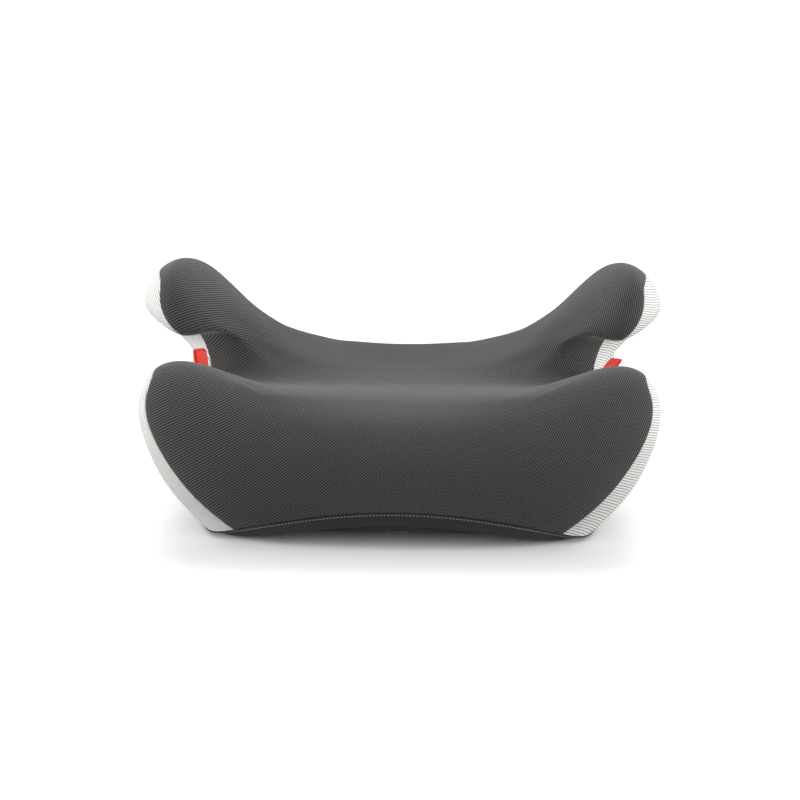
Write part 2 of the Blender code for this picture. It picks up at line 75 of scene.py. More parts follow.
FIT = 0.3 * MM
RIB_WALL = 2.6 * MM
RIB_BOTTOM = 24 * MM
RIB_X = (-54 * MM, 54 * MM)
RIB_Y = (-55 * MM, 95 * MM)
LONG_RIB_Y = (-130 * MM, 165 * MM)
CROSS_RIB_X = (-120 * MM, 120 * MM)
ABOVE = 300 * MM
BELOW = -30 * MM
LOOP_BASE = Vector((180 * MM, -31 * MM, 121 * MM))
LOOP_WIDTH = 10 * MM
LOOP_HEIGHT = 24 * MM
LOOP_BULGE = 9 * MM
LOOP_THICK = 1.0 * MM
LOOP_TURN = radians(36)
LOOP_PINCH = 0.35
LOOP_END_GAP = 1.6 * MM
LOOP_LIFT = 0.2 * MM
# how far each ribbon's top leans outwards
LOOP_LEAN = {"left": radians(8), "right": radians(36)}

# ---- the looks' own sizes ----

# subdivision of the form before and after the cloth pass
FORM_LEVEL = 3
FINE_LEVEL = 1
# a seam's rolled edge: distance in from the seam line, and depth below the panel there
ROLL = ((0.45 * MM, 0.28 * MM), (1.3 * MM, 0.05 * MM))
ROLL_EDGE_DEPTH = 0.85 * MM
ROLL_EDGE_GAP = 0.12 * MM
# knit: rib pitch and direction on the middle of the front face, from the X axis
KNIT_PITCH = 1.95 * MM
KNIT_RELIEF = 0.30 * MM
KNIT_ANGLE = radians(50)
STRIPE_PITCH = 2.35 * MM
STRIPE_RELIEF = 0.25 * MM
STRIPE_ANGLE = radians(-35)
# a knit's colours, on its ridges and in its grooves
CHARCOAL = ((0.097, 0.093, 0.090), (0.020, 0.019, 0.020))
LIGHT_GREY = ((0.80, 0.81, 0.775), (0.35, 0.36, 0.35))
# elastic band
CORD_COUNT = 12
CORD_HEIGHT = 0.14 * MM
STITCH_LENGTH = 2.1 * MM
STITCH_PITCH = 3.1 * MM
STITCH_RADIUS = 0.36 * MM
STITCH_PLACE = 0.11
STITCH_SLANT = 6
BAND_SAMPLES = 22
BAND_HEIGHT = 12 * MM
BAND_FOLD = 0.35 * MM
BAND_CORD_START = 0.26
STITCH_STEP = 1.3 * MM
PAD_GAP = 0.5 * MM
RIBBON_STEPS = 56
RIBBON_SIDES = 12
SHELL_LEVEL = 2
# rounds of evening the seam line, and the rings of points beside it that move with it
SEAM_EVENING = 12
SEAM_RINGS = 3
# cloth pass
CLOTH_FRAMES = 14
LIFT_EASE = 0.4 * MM
# a panel's pressure and the most that it lifts
TOP_PUFF = (1.2, 2.4 * MM)
SIDE_PUFF = (12.0, 1.2 * MM)
# how the knit's ribs and the side panels' stripes turn: (centre in the flat plan, radius, angle)
KNIT_SWIRLS = (
    ((-0.205, 0.090), 0.110, radians(-27)), ((0.205, 0.090), 0.110, radians(24)),
    ((-0.195, 0.245), 0.055, radians(-18)), ((0.215, 0.245), 0.050, radians(32)),
)
# the flat plans: what moving back, or out from the centre line, adds to a place in them
TOP_BACK = 0.4
TOP_FRONT = -0.19
SIDE_BACK = 0.8
SIDE_OUT = 0.6
# ribs spread to less than this share of their usual closeness don't show, and from the second one they do
RIB_FADE = (0.30, 0.62)
STRIPE_SWIRLS = {
    "left": (((0.0, 0.10), 0.06, radians(-30)), ((0.11, 0.19), 0.05, radians(-45))),
    "right": (((0.0, 0.12), 0.06, radians(18)), ((0.11, 0.19), 0.05, radians(25))),
}

# ---- camera and stage ----

CAMERA_LEAN = 12.0
CAMERA_TURN = 1.0
CAMERA_ROLL = 0.5
CAMERA_DISTANCE = 2.2
CAMERA_TARGET = Vector((-1.2 * MM, -30 * MM, 100 * MM))
CAMERA_LENS = 108.95
CAMERA_SENSOR = 36.0
FLOOR_SIZE = 30.0
FLOOR_GAP = 0.3 * MM
# the studio's light by the height of its direction: it rises from a level below the horizon to one above
WORLD = (-0.20, 0.15, 0.12, 0.82)
SIDE_POWER = 30
HIGH_POWER = 1.6
HIGH_SPREAD = 45
# the high light leans from straight above towards the back
HIGH_LEAN = -42
FRONT_POWER = 8.5

# The half cage for X >= 0, in millimetres. Each row runs from the centre line to the side seam.
# The rows run from the front hem, over the thigh wing, through the belt gap, round the armrest's knob,
# back along the armrest and down the back to the rear hem.
PANEL_ROWS = {
    "hem_front": ((0, -181, 34), (42, -180, 32), (80, -176, 26), (115, -168, 18), (143, -154, 9)),
    "front_low": ((0, -188, 52), (52, -187, 51), (100, -185, 47), (147, -179, 41), (176, -164, 36)),
    "front_mid": ((0, -194, 76), (62, -194, 77), (118, -192, 79), (172, -186, 80), (208, -171, 80)),
    "front_top": ((0, -191, 96), (66, -191, 99), (126, -190, 105), (187, -184, 115), (227, -168, 121)),
    "wing_front": ((0, -178, 110), (68, -178, 114), (128, -176, 126), (187, -169, 145), (216, -152, 147)),
    "wing_top": ((0, -155, 118), (68, -153, 123), (127, -148, 136), (181, -138, 158), (214, -126, 158)),
    "wing_rear": ((0, -120, 119), (68, -116, 122), (124, -111, 131), (170, -101, 147), (192, -94, 146)),
    "gap_floor": ((0, -80, 116), (68, -78, 117), (120, -73, 120), (158, -63, 125), (178, -56, 122)),
    "throat_foot": ((0, -45, 112.5), (68, -43, 112), (112, -42, 112.5), (149, -31, 116), (171, -20, 118)),
    "throat_back": ((0, -20, 110), (70, -18, 110), (113, -20, 113), (150, -14, 126), (172, -2, 131)),
    "throat_top": ((0, 0, 109), (74, 2, 111), (120, -2, 119), (153, -13, 148), (176, -4, 156)),
    "knob_under": ((0, 18, 108.5), (79, 20, 112.5), (130, 9, 131), (160, -28, 170), (189, -34, 158)),
    "knob_low": ((0, 34, 108), (82, 33, 114), (136, 13, 141), (169, -58, 175), (197, -71, 146)),
    "knob_front": ((0, 50, 108), (85, 46, 116), (142, 14, 153), (186, -78, 194), (216, -80, 184)),
    "knob_high": ((0, 66, 108), (87, 60, 117), (146, 24, 161), (191, -66, 217), (219, -63, 213)),
    "arm_front": ((0, 84, 109), (87, 80, 117.5), (147, 42, 165), (191, -22, 231), (222, -20, 226)),
    "arm_mid": ((0, 104, 110.5), (86, 102, 118), (145, 68, 163), (185, 34, 225), (214, 35, 219)),
    "arm_rear": ((0, 126, 112), (83, 126, 119), (141, 103, 157), (180, 90, 207), (208, 90, 204)),
    "rear_top": ((0, 152, 115), (79, 152, 119), (135, 142, 139), (170, 140, 173), (201, 145, 173)),
    "back_top": ((0, 175, 113), (76, 177, 117), (130, 179, 128), (163, 177, 134), (194, 177, 130)),
    "back_mid": ((0, 187, 92), (72, 191, 92), (126, 193, 92), (160, 193, 92), (188, 187, 92)),
    "back_low": ((0, 189, 58), (66, 193, 58), (118, 194, 56), (150, 192, 54), (178, 185, 52)),
    "hem_rear": ((0, 181, 5), (58, 184, 5), (105, 185, 5), (135, 181, 5), (160, 173, 5)),
}
# The side panel's own points, from front to rear (a to e) and from the hem up (1 to 3)
SIDE_POINTS = {
    "hem_a": (168, -145, 3), "a1": (205, -133, 36), "a2": (223, -140, 78), "a3": (232, -142, 120),
    "hem_b": (178, -80, 3), "b1": (209, -82, 36), "b2": (225, -88, 76), "b3": (225, -92, 116),
    "hem_c": (179, -30, 3), "c1": (208, -35, 36), "c2": (218, -38, 72), "c3": (207, -46, 102),
    "hem_d": (178, 20, 3), "d1": (204, 15, 36), "d2": (212, 10, 72), "d3": (197, 0, 104),
    "hem_e": (175, 80, 3), "e1": (202, 85, 38), "e2": (210, 90, 75), "e3": (204, 92, 112),
    "stem_0": (201, 52, 132), "stem_1": (231, 40, 154),
    "stem_2": (248, 8, 166), "stem_3": (250, -34, 181),
}
# The side panel's quads. A row's name stands for its seam point.
SIDE_HEM = (
    ("hem_front", "front_low", "a1", "hem_a"), ("hem_a", "a1", "b1", "hem_b"),
    ("hem_b", "b1", "c1", "hem_c"),
    ("hem_c", "c1", "d1", "hem_d"), ("hem_d", "d1", "e1", "hem_e"), ("hem_e", "e1", "back_low", "hem_rear"),
    ("front_low", "front_mid", "a2", "a1"), ("a1", "a2", "b2", "b1"), ("b1", "b2", "c2", "c1"),
    ("c1", "c2", "d2", "d1"), ("d1", "d2", "e2", "e1"), ("e1", "e2", "back_mid", "back_low"),
)
SIDE_WING = (
    ("front_mid", "front_top", "a3", "a2"), ("front_top", "wing_front", "wing_top", "a3"),
    ("a2", "a3", "b3", "b2"), ("a3", "wing_top", "wing_rear", "b3"),
    ("b2", "b3", "c3", "c2"), ("b3", "wing_rear", "gap_floor", "c3"),
)
SIDE_ARM = (
    ("c2", "c3", "d3", "d2"), ("c3", "gap_floor", "throat_foot", "d3"),
    ("d2", "d3", "e3", "e2"), ("d3", "throat_foot", "stem_0", "e3"),
    ("e2", "e3", "back_top", "back_mid"), ("e3", "stem_0", "rear_top", "back_top"),
    ("throat_foot", "throat_back", "stem_1", "stem_0"), ("stem_0", "stem_1", "arm_rear", "rear_top"),
    ("throat_back", "throat_top", "stem_2", "stem_1"), ("stem_1", "stem_2", "arm_mid", "arm_rear"),
    ("throat_top", "knob_under", "stem_3", "stem_2"), ("stem_2", "stem_3", "arm_front", "arm_mid"),
    ("knob_under", "knob_low", "knob_front", "stem_3"), ("stem_3", "knob_front", "knob_high", "arm_front"),
)
# Hem points in order round the half, and the shell's rim and the band's lower edge along them
HEM_ORDER = ("hem_a", "hem_b", "hem_c", "hem_d", "hem_e")
SHELL_RIM = (
    (0, -179, 13.5), (42, -177.5, 13), (79, -172, 11.5), (112, -163.5, 8), (138, -148, 4.5),
    (164, -140, 4), (175, -80, 4), (176, -30, 4), (175, 20, 4), (172, 80, 4),
    (157, 170, 6), (134, 177, 6), (104, 181, 6), (58, 180, 6), (0, 177, 6),
)
BAND_EDGE = (
    (0, -181.6, 21.5), (42, -180.6, 20), (80, -176.4, 14.5), (114, -167.6, 7.5), (139, -150, 1.7),
    (157, -135, 1.6), (167, -80, 1.6), (168, -30, 1.6), (167, 20, 1.6), (164, 80, 1.6),
    (150, 163, 1.6), (130, 171, 1.6), (103, 175, 1.6), (57, 175, 1.6), (0, 172, 1.6),
)

# patches of the surface
HEM, SEAT, HOOK, ARM, SIDE_LOW, WING_SIDE, ARM_SIDE = range(7)
TOP_PATCHES = (HEM, SEAT, HOOK, ARM)
SIDE_PATCHES = (SIDE_LOW, WING_SIDE, ARM_SIDE)
HOOK_ROWS = ("throat_back", "knob_front")
ARM_ROWS = ("knob_front", "arm_rear")
ARM_COLUMN = 2
SEAT_ROWS = ("front_mid", "back_top")
SHARP_ANGLE = radians(50)


# ---- the outer form ----

def patch_of(row, column, names):
    """The patch that the panel's quad after this row and column belongs to."""
    if not names.index(SEAT_ROWS[0]) <= row < names.index(SEAT_ROWS[1]):
        return HEM
    if column >= ARM_COLUMN:
        for patch, (first, last) in ((HOOK, HOOK_ROWS), (ARM, ARM_ROWS)):
            if names.index(first) <= row < names.index(last):
                return patch
    return SEAT


def build_form(level, hem=None):
    """The whole outer surface as a mesh. hem replaces the points of the lower edge, front to rear."""
    bm = bmesh.new()
    bm.loops.layers.uv.new("cloth")
    names = list(PANEL_ROWS)
    middle = {}
    for side in (1, -1):
        points = {}
        for name, row in PANEL_ROWS.items():
            for column, point in enumerate(row):
                if column == 0 and name in middle:
                    points[name, 0] = middle[name]
                    continue
                points[name, column] = bm.verts.new(Vector((point[0] * side, point[1], point[2])) * MM)
                if column == 0:
                    middle[name] = points[name, 0]
            points[name] = points[name, len(row) - 1]
        for name, point in SIDE_POINTS.items():
            points[name] = bm.verts.new(Vector((point[0] * side, point[1], point[2])) * MM)
        if hem:
            columns = range(len(PANEL_ROWS["hem_front"]))
            edge = [("hem_front", column) for column in columns] + list(HEM_ORDER)
            edge += [("hem_rear", column) for column in reversed(columns)]
            for key, place in zip(edge, hem):
                points[key].co = Vector((place[0] * side, place[1], place[2])) * MM
        for i in range(len(names) - 1):
            for j in range(len(PANEL_ROWS[names[0]]) - 1):
                keys = [(names[i], j), (names[i], j + 1), (names[i + 1], j + 1), (names[i + 1], j)]
                face = bm.faces.new([points[key] for key in keys][::side])
                face.material_index = patch_of(i, j, names)
        for quads, patch in ((SIDE_HEM, SIDE_LOW), (SIDE_WING, WING_SIDE), (SIDE_ARM, ARM_SIDE)):
            for quad in quads:
                face = bm.faces.new([points[key] for key in quad][::-side])
                face.material_index = patch
    mesh = mesh_of(bm, "outer_form")
    for patch in range(ARM_SIDE + 1):
        mesh.materials.append(None)
    cage = bpy.data.objects.new("outer_form", mesh)
    bpy.context.scene.collection.objects.link(cage)
    smooth = cage.modifiers.new("subdivision", "SUBSURF")
    smooth.levels = smooth.render_levels = level
    form = evaluated_mesh(cage)
    bpy.data.objects.remove(cage)
    return form


def mesh_of(bm, name):
    """The finished bmesh as a new mesh."""
    mesh = bpy.data.meshes.new(name)
    bm.to_mesh(mesh)
    bm.free()
    return mesh


def evaluated_mesh(thing):
    """The thing's mesh with its modifiers applied."""
    bpy.context.view_layer.update()
    graph = bpy.context.evaluated_depsgraph_get()
    return bpy.data.meshes.new_from_object(thing.evaluated_get(graph))


def add_object(name, mesh):
    thing = bpy.data.objects.new(name, mesh)
    bpy.context.scene.collection.objects.link(thing)
    return thing


def smoothstep(low, high, value):
    t = min(max((value - low) / (high - low), 0), 1)
    return t * t * (3 - 2 * t)


def shell_depth(z):
    rise = (SHELL_SEAT_DEPTH - SHELL_RIM_DEPTH) * smoothstep(*RIM_HEIGHTS, z)
    return SHELL_RIM_DEPTH + rise - (SHELL_SEAT_DEPTH - SHELL_ARM_DEPTH) * smoothstep(*ARM_HEIGHTS, z)


def foam_thickness(z):
    return shell_depth(z) - FOAM_TO_SHELL - FOAM_DEPTH


def cavity_depth(z):
    return shell_depth(z) + SHELL_WALL


def sink(bm, depth_at):
    """Moves the whole surface inwards, by depth_at(height) at each point."""
    bm.normal_update()
    places = {vertex: vertex.co - vertex.normal * depth_at(vertex.co.z) for vertex in bm.verts}
    for vertex, place in places.items():
        vertex.co = place


def patch_mesh(form, patches, side, depth_at=None):
    """The open surface of some patches of the form. side is -1, 1 or 0 for both."""
    bm = bmesh.new()
    bm.from_mesh(form)
    if depth_at:
        sink(bm, depth_at)
    unwanted = []
    for face in bm.faces:
        wrong_side = side and face.calc_center_median().x * side < 0
        if face.material_index not in patches or wrong_side:
            unwanted.append(face)
    bmesh.ops.delete(bm, geom=unwanted, context="FACES")
    for face in bm.faces:
        face.material_index = 0
    return mesh_of(bm, "patch")


def roll_edges(bm, gap):
    """Adds rings along the open edge and rolls them down into the seam."""
    moves = {}
    region = list(bm.faces)
    before = 0.0
    for place, depth in ROLL:
        ring = bmesh.ops.inset_region(
            bm, faces=region, thickness=place - before, use_boundary=True, use_even_offset=False
        )["faces"]
        ring = set(ring)
        kept = set(region) - ring
        region = [face for face in region if face in kept]
        before = place
        for face in ring:
            for vertex in face.verts:
                if not vertex.is_boundary and vertex not in moves:
                    moves[vertex] = depth
    bm.normal_update()
    places = {}
    for vertex in bm.verts:
        if vertex.is_boundary:
            inner = [edge.other_vert(vertex).co for edge in vertex.link_edges if not edge.is_boundary]
            across = Vector()
            if inner:
                across = (sum(inner, Vector()) / len(inner) - vertex.co).normalized() * gap
            places[vertex] = vertex.co - vertex.normal * ROLL_EDGE_DEPTH + across
        elif vertex in moves:
            places[vertex] = vertex.co - vertex.normal * moves[vertex]
    for vertex, place in places.items():
        vertex.co = place


def even_seam(mesh, rounds):
    """Evens the line between the top panel and the side panels along the surface, and the mesh beside it."""
    bm = bmesh.new()
    bm.from_mesh(mesh)
    bm.normal_update()
    around = {}
    for edge in bm.edges:
        if len({face.material_index in SIDE_PATCHES for face in edge.link_faces}) == 2:
            for vertex in edge.verts:
                around.setdefault(vertex, []).append(edge.other_vert(vertex))
    around = {vertex: others for vertex, others in around.items() if len(others) == 2}
    front = list(around)
    for _ in range(SEAM_RINGS):
        after = {}
        for vertex in front:
            for edge in vertex.link_edges:
                other = edge.other_vert(vertex)
                if other not in around and not other.is_boundary:
                    after[other] = None
        for vertex in after:
            around[vertex] = [edge.other_vert(vertex) for edge in vertex.link_edges]
        front = list(after)
    for _ in range(rounds):
        places = []
        for vertex, others in around.items():
            step = sum((other.co for other in others), Vector()) / len(others) - vertex.co
            step -= vertex.normal * step.dot(vertex.normal)
            places.append(vertex.co + step / 2)
        for vertex, place in zip(around, places):
            vertex.co = place
    bm.to_mesh(mesh)
    bm.free()
    return mesh


def close_skin(bm, thickness):
    """Gives the open patch its inner face, thickness(z) further in, and a rim between them."""
    bm.normal_update()
    outer_faces = list(bm.faces)
    rim = [(loop.vert, loop.link_loop_next.vert) for face in outer_faces for loop in face.loops
           if loop.edge.is_boundary]
    inner = {}
    for vertex in list(bm.verts):
        inner[vertex] = bm.verts.new(vertex.co - vertex.normal * thickness(vertex.co.z))
    for face in outer_faces:
        bm.faces.new([inner[vertex] for vertex in reversed(face.verts)])
    for start, end in rim:
        bm.faces.new((end, start, inner[start], inner[end]))


def puff(mesh, pressure, cap):
    """A cloth pass over an open patch pinned at its seams. It lifts by at most cap, and never sinks."""
    thing = add_object("cloth_pass", mesh)
    bm = bmesh.new()
    bm.from_mesh(mesh)
    edge = [vertex.index for vertex in bm.verts if vertex.is_boundary]
    bm.free()
    thing.vertex_groups.new(name="seam").add(edge, 1.0, "REPLACE")
    before = np.empty(len(mesh.vertices) * 3)
    out = np.empty(len(mesh.vertices) * 3)
    mesh.vertices.foreach_get("co", before)
    mesh.vertices.foreach_get("normal", out)
    before, out = before.reshape(-1, 3), out.reshape(-1, 3)
    modifier = thing.modifiers.new("cloth", "CLOTH")
    cloth = modifier.settings
    cloth.quality = 5
    cloth.mass = 0.25
    cloth.tension_stiffness = 15
    cloth.compression_stiffness = 15
    cloth.shear_stiffness = 8
    cloth.bending_stiffness = 0.6
    cloth.use_pressure = True
    cloth.uniform_pressure_force = pressure
    cloth.effector_weights.gravity = 0
    cloth.vertex_group_mass = "seam"
    modifier.collision_settings.use_collision = False
    modifier.point_cache.frame_start = 1
    modifier.point_cache.frame_end = CLOTH_FRAMES
    for frame_number in range(1, CLOTH_FRAMES + 1):
        bpy.context.scene.frame_set(frame_number)
    blown = evaluated_mesh(thing)
    after = np.empty(len(mesh.vertices) * 3)
    blown.vertices.foreach_get("co", after)
    lift = ((after.reshape(-1, 3) - before) * out).sum(axis=1)
    lift = (lift + np.sqrt(lift ** 2 + LIFT_EASE ** 2) - LIFT_EASE) / 2
    lift = cap * np.tanh(lift / cap)
    thing.modifiers.clear()
    mesh.vertices.foreach_set("co", (before + out * lift[:, None]).ravel())
    bpy.data.objects.remove(thing)
    bpy.context.scene.frame_set(1)
    return mesh


def refine(mesh, level):
    thing = add_object("refined", mesh)
    smooth = thing.modifiers.new("subdivision", "SUBSURF")
    smooth.levels = smooth.render_levels = level
    smooth.boundary_smooth = "PRESERVE_CORNERS"
    fine = evaluated_mesh(thing)
    bpy.data.objects.remove(thing)
    return fine


def swirled(flat, swirls):
    """Turns the flat plan round each (centre, radius, angle), fading with the distance."""
    moved = flat.copy()
    for centre, radius, angle in swirls:
        offset = flat - np.array(centre)
        fade = 1 / np.sqrt(1 + (offset ** 2).sum(axis=1) / radius ** 2)
        turn = -angle * fade
        turned = np.stack((
            offset[:, 0] * np.cos(turn) - offset[:, 1] * np.sin(turn),
            offset[:, 0] * np.sin(turn) + offset[:, 1] * np.cos(turn),
        ), axis=1)
        moved += turned - offset
    return moved


def lay_cloth(mesh, flat, angle, swirls):
    """Stores the cloth's own coordinates as UVs: x along the ribs and y across them, in metres.

    The "ribs" layer holds how much the ribs show."""
    flat = swirled(flat, swirls)
    along = flat[:, 0] * cos(angle) + flat[:, 1] * sin(angle)
    across = flat[:, 1] * cos(angle) - flat[:, 0] * sin(angle)
    mesh.uv_layers["cloth"].data.foreach_set("uv", np.stack((along, across), axis=1).ravel())
    layer = mesh.uv_layers.new(name="ribs", do_init=False)
    mesh.uv_layers.active = mesh.uv_layers["cloth"]
    show = rib_show(mesh, across)
    layer.data.foreach_set("uv", np.stack((show, show), axis=1).ravel())


def rib_show(mesh, across):
    """At each face corner, how much the ribs show: less where the plan spreads them too wide."""
    corner = corner_vertices(mesh)
    mesh.calc_loop_triangles()
    loops = np.empty(len(mesh.loop_triangles) * 3, np.int32)
    mesh.loop_triangles.foreach_get("loops", loops)
    loops = loops.reshape(-1, 3)
    places = corner_points(mesh)[loops]
    one, two = places[:, 1] - places[:, 0], places[:, 2] - places[:, 0]
    rise_one = across[loops[:, 1]] - across[loops[:, 0]]
    rise_two = across[loops[:, 2]] - across[loops[:, 0]]
    normal = np.cross(one, two)
    size = np.maximum((normal ** 2).sum(axis=1), 1e-24)[:, None]
    slope = (rise_one[:, None] * np.cross(two, normal) + rise_two[:, None] * np.cross(normal, one)) / size
    weight = np.sqrt(size[:, 0])
    total = np.zeros((len(mesh.vertices), 4))
    for k in range(3):
        np.add.at(total, corner[loops[:, k]], np.column_stack((np.abs(slope) * weight[:, None], weight)))
    steep = np.sqrt((total[:, :3] ** 2).sum(axis=1)) / np.maximum(total[:, 3], 1e-24)
    show = np.clip((steep - RIB_FADE[0]) / (RIB_FADE[1] - RIB_FADE[0]), 0, 1)
    return (show ** 2 * (3 - 2 * show))[corner]


def corner_vertices(mesh):
    """The vertex of each face corner."""
    corner = np.empty(len(mesh.loops), np.int32)
    mesh.loops.foreach_get("vertex_index", corner)
    return corner


def corner_points(mesh):
    """The position of each face corner."""
    points = np.empty(len(mesh.vertices) * 3)
    mesh.vertices.foreach_get("co", points)
    return points.reshape(-1, 3)[corner_vertices(mesh)]


def top_plan(mesh):
    """The top panel's flat plan: across, and up the front face and back over the seat."""
    points = corner_points(mesh)
    return np.stack((points[:, 0], points[:, 2] + TOP_BACK * (points[:, 1] - TOP_FRONT)), axis=1)


def side_plan(mesh):
    """A side panel's flat plan: back round the seat, and up."""
    points = corner_points(mesh)
    return np.stack((SIDE_BACK * points[:, 1] + SIDE_OUT * np.abs(points[:, 0]), points[:, 2]), axis=1)


def finish_piece(thing, material, body):
    thing.data.materials.clear()
    thing.data.materials.append(material)
    thing.data.shade_smooth()
    thing.data.set_sharp_from_angle(angle=SHARP_ANGLE)
    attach(thing, body)
    return thing


def make_panel(node, form, patches, side, material, slot, pressure, most):
    """One panel of the cover, with rolled seams. Its CAD node is hidden."""
    mesh = patch_mesh(form, patches, side)
    mesh = puff(mesh, pressure, most)
    mesh = refine(mesh, FINE_LEVEL)
    bm = bmesh.new()
    bm.from_mesh(mesh)
    roll_edges(bm, ROLL_EDGE_GAP)
    close_skin(bm, lambda z: COVER_THICK)
    bm.to_mesh(mesh)
    bm.free()
    thing = add_object("soft_" + node, mesh)
    finish_piece(thing, material, "seat")
    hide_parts(node)
    return thing


def make_pad(node, form, patches, side, material):
    """One foam pad under the cover."""
    mesh = patch_mesh(form, patches, side, lambda z: FOAM_DEPTH)
    bm = bmesh.new()
    bm.from_mesh(mesh)
    roll_edges(bm, PAD_GAP)
    close_skin(bm, foam_thickness)
    bm.to_mesh(mesh)
    bm.free()
    thing = add_object("pad_" + node, mesh)
    finish_piece(thing, material, "seat")
    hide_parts(node)
    return thing


# ---- the hem band and its stitches ----

def spline_loop(half, count):
    """A closed smooth line round the seat: the cubic B-spline of the half's points and their mirror image."""
    control = [Vector(point) for point in half]
    control += [Vector((-point.x, point.y, point.z)) for point in control[-2:0:-1]]
    line = []
    for i in range(len(control)):
        a, b, c, d = (control[(i + k) % len(control)] for k in (-1, 0, 1, 2))
        for k in range(count):
            t = k / count
            inner = (3 * t ** 3 - 6 * t ** 2 + 4, -3 * t ** 3 + 3 * t ** 2 + 3 * t + 1)
            weights = ((1 - t) ** 3, *inner, t ** 3)
            point = sum((w * p for w, p in zip(weights, (a, b, c, d))), Vector()) / 6
            line.append(point * MM)
    return line


def band_lines():
    """The band's upper and lower edge, and its outward direction, all round."""
    hem = list(PANEL_ROWS["hem_front"]) + [SIDE_POINTS[name] for name in HEM_ORDER]
    hem += list(PANEL_ROWS["hem_rear"])[::-1]
    upper = [point - Vector((0, 0, BAND_DROP)) for point in spline_loop(hem, BAND_SAMPLES)]
    lower = spline_loop(BAND_EDGE, BAND_SAMPLES)
    outward = []
    for i in range(len(upper)):
        tangent = upper[(i + 1) % len(upper)] - upper[i - 1]
        outward.append(tangent.cross(upper[i] - lower[i]).normalized())
    return upper, lower, outward


def band_out(share):
    """How far the band's outer face stands out at this share of its height, from the top."""
    fold = BAND_FOLD * (1 - smoothstep(0.14, 0.24, share)) * smoothstep(-0.02, 0.05, share)
    cords = 0.0
    if share > BAND_CORD_START:
        cords = CORD_HEIGHT * abs(sin(pi * CORD_COUNT * (share - BAND_CORD_START) / (1 - BAND_CORD_START)))
    return fold + cords


def build_band(material):
    upper, lower, outward = band_lines()
    rows = 5 * CORD_COUNT
    section = [(k / rows, band_out(k / rows)) for k in range(rows + 1)]
    section = [(0.0, -0.8 * BAND_THICK)] + section + [(1.0, -0.8 * BAND_THICK)]
    section += [(share, -BAND_THICK) for share in (0.97, 0.5, 0.03)]
    bm = bmesh.new()
    uv = bm.loops.layers.uv.new("cloth")
    rings, flat = [], {}
    run = 0.0
    for i, (top, low, out) in enumerate(zip(upper, lower, outward)):
        if i:
            run += (top - upper[i - 1]).length
        ring = []
        for share, stand in section:
            vertex = bm.verts.new(top.lerp(low, share) + out * stand)
            flat[vertex] = (run, share * BAND_HEIGHT)
            ring.append(vertex)
        rings.append(ring)
    total = run + (upper[0] - upper[-1]).length
    for i, ring in enumerate(rings):
        after = rings[(i + 1) % len(rings)]
        for j in range(len(ring)):
            k = (j + 1) % len(ring)
            face = bm.faces.new((ring[j], ring[k], after[k], after[j]))
            for loop in face.loops:
                u, v = flat[loop.vert]
                if i == len(rings) - 1 and loop.vert in (after[j], after[k]):
                    u = total
                loop[uv].uv = (u, v)
    bmesh.ops.recalc_face_normals(bm, faces=bm.faces)
    band = add_object("hem_band", mesh_of(bm, "hem_band"))
    finish_piece(band, material, "seat")
    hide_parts("cover_hem_band")
    return band


def build_stitches(material):
    """The topstitch along the band's upper edge, each stitch a short sunk thread."""
    upper, lower, outward = band_lines()
    line = [t.lerp(l, STITCH_PLACE) + o * (band_out(STITCH_PLACE)) for t, l, o in zip(upper, lower, outward)]
    steps = [(line[(i + 1) % len(line)] - line[i]).length for i in range(len(line))]
    total = sum(steps)
    count = round(total / STITCH_PITCH)
    thread = bmesh.new()
    bmesh.ops.create_uvsphere(thread, u_segments=8, v_segments=6, radius=1)
    ball = [vertex.co.copy() for vertex in thread.verts]
    corners = [[vertex.index for vertex in face.verts] for face in thread.faces]
    thread.free()
    slant = Matrix.Rotation(radians(STITCH_SLANT), 4, "Y")
    size = Matrix.Diagonal((STITCH_LENGTH / 2, STITCH_RADIUS * 0.8, STITCH_RADIUS, 1))
    points, faces = [], []
    i, passed = 0, 0.0
    for number in range(count):
        target = (number + 0.5) * total / count
        while passed + steps[i] < target:
            passed += steps[i]
            i += 1
        after = (i + 1) % len(line)
        place = line[i].lerp(line[after], (target - passed) / steps[i])
        along = (line[after] - line[i]).normalized()
        out = outward[i]
        turn = Matrix((along, out, along.cross(out))).transposed().to_4x4()
        matrix = Matrix.Translation(place) @ turn @ slant @ size
        faces += [[corner + len(points) for corner in face] for face in corners]
        points += [matrix @ co for co in ball]
    mesh = bpy.data.meshes.new("hem_stitches")
    mesh.from_pydata(points, [], faces)
    return finish_piece(add_object("hem_stitches", mesh), material, "seat")


# ---- the ribbon loops ----

